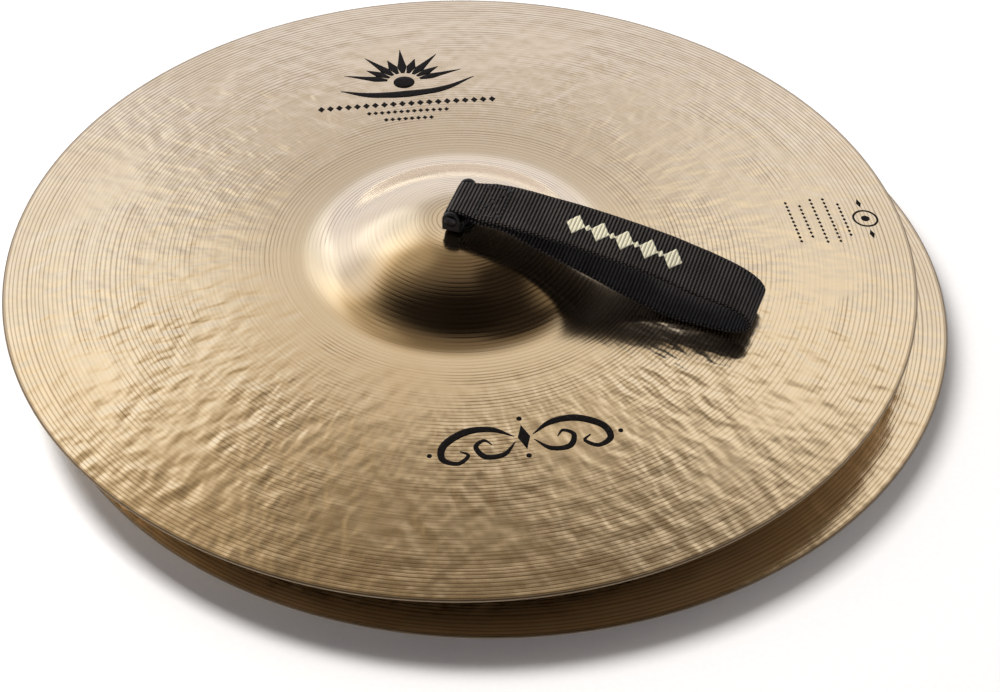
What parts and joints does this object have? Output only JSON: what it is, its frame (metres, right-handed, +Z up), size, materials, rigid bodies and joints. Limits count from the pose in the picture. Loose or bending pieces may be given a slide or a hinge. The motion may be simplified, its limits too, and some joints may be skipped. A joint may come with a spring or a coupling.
{
  "type": "hand cymbals",
  "caption": "Pair of thin bronze hand cymbals stored one on the other, each with a webbing hand strap on a swivelling yoke through its bell.",
  "frame": {"origin": "on the surface the pair stands on, under the middle of the pair's bounding box", "axes": "+Z up, square to the lower cymbal's rim plane; +X towards the lower cymbal's exposed side and roughly along the upper strap; +Y to the back"},
  "size_m": [0.4212, 0.4078, 0.0714],
  "materials": {
    "bronze": "satin lathe-turned bronze with fine tonal grooves, hammer marks and a clear lacquer",
    "webbing": "black ribbed nylon webbing",
    "black_nylon": "moulded black nylon, satin",
    "black_steel": "black oxide",
    "steel": "zinc plated, turned",
    "felt": "dense grey wool felt",
    "white_nylon": "natural nylon",
    "ink": "thin black printed ink",
    "cream_ink": "cream print on webbing"
  },
  "bodies": {
    "lower_cymbal_body": {"lower_cymbal": "bronze", "lower_hole_bush": "black_nylon", "lower_swivel_bolt": "steel", "lower_felt_washer": "felt", "lower_steel_washer": "steel", "lower_lock_nut": "steel", "lower_nut_insert": "white_nylon"},
    "lower_swivel_body": {"lower_yoke": "black_nylon", "lower_cross_pin": "black_steel", "lower_pin_clip": "black_steel"},
    "lower_strap_body": {"lower_strap": "webbing"},
    "upper_cymbal_body": {"upper_cymbal": "bronze", "upper_hole_bush": "black_nylon", "upper_swivel_bolt": "steel", "upper_felt_washer": "felt", "upper_steel_washer": "steel", "upper_lock_nut": "steel", "upper_nut_insert": "white_nylon"},
    "upper_swivel_body": {"upper_yoke": "black_nylon", "upper_cross_pin": "black_steel", "upper_pin_clip": "black_steel"},
    "upper_strap_body": {"upper_strap": "webbing"}
  },
  "joints": [
    {"name": "upper_lift", "type": "slide", "parent": "lower_cymbal_body", "child": "upper_cymbal_body", "axis": [0, 0, 1], "range_m": [0, 0.3]},
    {"name": "upper_swivel", "type": "hinge", "parent": "upper_cymbal_body", "child": "upper_swivel_body", "pos_m": [-0.00745, -0.0007, 0.0257], "axis": [0.0118, -0.0162, 0.9998], "continuous": true},
    {"name": "upper_strap_hinge", "type": "hinge", "parent": "upper_swivel_body", "child": "upper_strap_body", "pos_m": [-0.00697, -0.00136, 0.06664], "axis": [-0.3174, -0.9482, -0.0117], "range_deg": [0, 150]},
    {"name": "lower_swivel", "type": "hinge", "parent": "lower_cymbal_body", "child": "lower_swivel_body", "pos_m": [0.00745, 0.0007, 0], "axis": [0, 0, 1], "continuous": true},
    {"name": "lower_strap_hinge", "type": "hinge", "parent": "lower_swivel_body", "child": "lower_strap_body", "pos_m": [0.00745, 0.0007, 0.04095], "axis": [0, 1, 0], "range_deg": [0, 90]}
  ],
  "couplings": [
    {"joint": "lower_strap_hinge", "follows": "upper_lift", "rad_per_m": 5}
  ]
}
